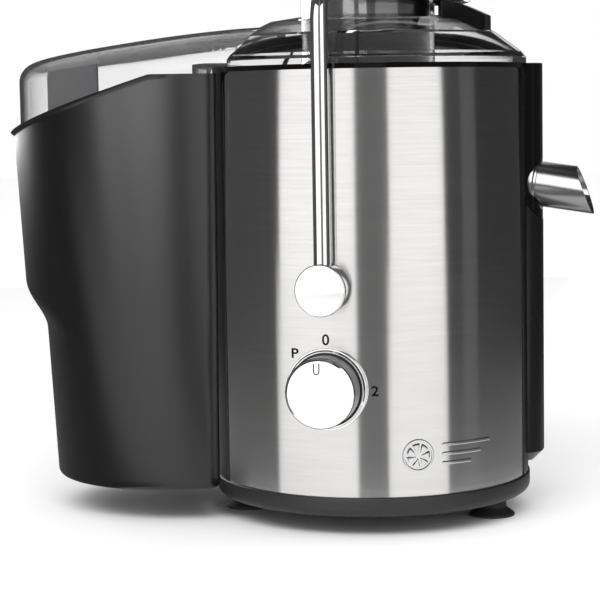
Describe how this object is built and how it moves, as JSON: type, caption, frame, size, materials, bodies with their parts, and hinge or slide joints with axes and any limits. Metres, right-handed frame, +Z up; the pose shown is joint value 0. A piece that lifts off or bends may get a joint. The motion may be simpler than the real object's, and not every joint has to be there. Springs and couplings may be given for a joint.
{
  "type": "centrifugal juicer",
  "caption": "Centrifugal juicer with a brushed steel front, locking arm, speed dial, spinning filter basket, clear lid with feed chute, juice spout and side pulp container.",
  "frame": {"origin": "the point of the table under the motor's axis, between the four suction feet", "axes": "+Z up along the motor's axis; -Y out of the front, where the dial is; +X towards the juice spout, the user's right"},
  "size_m": [0.3744, 0.2338, 0.416],
  "materials": {
    "brushed_steel": "vertical bands of light on fine horizontal brushing",
    "polished_steel": "mirror polished",
    "satin_black": "satin moulded",
    "gloss_black": "high gloss",
    "housing_black": "satin gloss",
    "base_black": "fine matte texture",
    "clear_smoke": "clear grey tint",
    "rubber": "matte",
    "motor_steel": "laminated",
    "copper": "enamelled wire",
    "bright_steel": "ground",
    "zinc_plate": "plated",
    "carbon": "dull",
    "grey_plastic": "moulded",
    "board_green": "lacquered board",
    "filter_steel": "perforated"
  },
  "bodies": {
    "housing": {"base_ring": "base_black", "bottom_plate": "base_black", "suction_feet": "rubber", "foot_screws": "zinc_plate", "steel_shell": "brushed_steel", "front_liner": "satin_black", "left_trim": "satin_black", "right_trim": "gloss_black", "rear_housing": "housing_black", "cord_gland": "satin_black", "top_deck": "grey_plastic", "shaft_seal": "rubber", "deck_screws": "zinc_plate", "deck_bosses": "grey_plastic", "tie_rods": "zinc_plate", "motor_mounts": "rubber", "stator_core": "motor_steel", "stator_windings": "copper", "brush_holders": "grey_plastic", "carbon_brushes": "carbon", "shaft_bearings": "bright_steel", "rotary_switch": "grey_plastic", "knob_bezel": "polished_steel", "control_board": "board_green", "interlock_switch": "grey_plastic", "switch_bracket": "zinc_plate", "pivot_bushings": "grey_plastic", "collector_bowl": "gloss_black", "bowl_gasket": "rubber", "juice_spout": "polished_steel", "spout_collar": "polished_steel", "lid": "clear_smoke", "hood_baffle": "clear_smoke", "feed_chute": "clear_smoke", "arm_saddle": "satin_black", "container_hanger": "satin_black", "lower_bracket": "zinc_plate", "upper_bracket": "zinc_plate"},
    "locking_arm": {"arm_rod": "polished_steel", "arm_hub_front": "polished_steel", "arm_hub_rear": "polished_steel", "pivot_pin_front": "bright_steel", "pivot_pin_rear": "bright_steel", "arm_cam": "grey_plastic"},
    "dial": {"speed_knob": "polished_steel", "knob_pointer": "satin_black", "switch_shaft": "grey_plastic"},
    "rotor": {"motor_shaft": "bright_steel", "armature_core": "motor_steel", "armature_windings": "copper", "commutator": "copper", "cooling_fan": "grey_plastic", "drive_coupling": "grey_plastic", "basket_hub": "satin_black", "grater_disc": "bright_steel", "filter_mesh": "filter_steel", "basket_frame": "satin_black"},
    "pusher": {"pusher_body": "satin_black", "pusher_cap": "satin_black"},
    "container": {"pulp_container": "satin_black"}
  },
  "joints": [
    {"name": "arm_swing", "type": "hinge", "parent": "housing", "child": "locking_arm", "pos_m": [-0.0062, 0, 0.14915], "axis": [0, 1, 0], "range_deg": [0, 92]},
    {"name": "dial_turn", "type": "hinge", "parent": "housing", "child": "dial", "pos_m": [-0.0062, -0.11, 0.0893], "axis": [0, 1, 0], "range_deg": [-42, 90]},
    {"name": "rotor_spin", "type": "hinge", "parent": "housing", "child": "rotor", "pos_m": [0, 0, 0.1], "axis": [0, 0, 1], "continuous": true},
    {"name": "pusher_slide", "type": "slide", "parent": "housing", "child": "pusher", "axis": [0, 0, 1], "range_m": [0, 0.14]},
    {"name": "container_tilt", "type": "hinge", "parent": "housing", "child": "container", "pos_m": [-0.105, 0, 0.268], "axis": [0, 1, 0], "range_deg": [0, 10]}
  ]
}
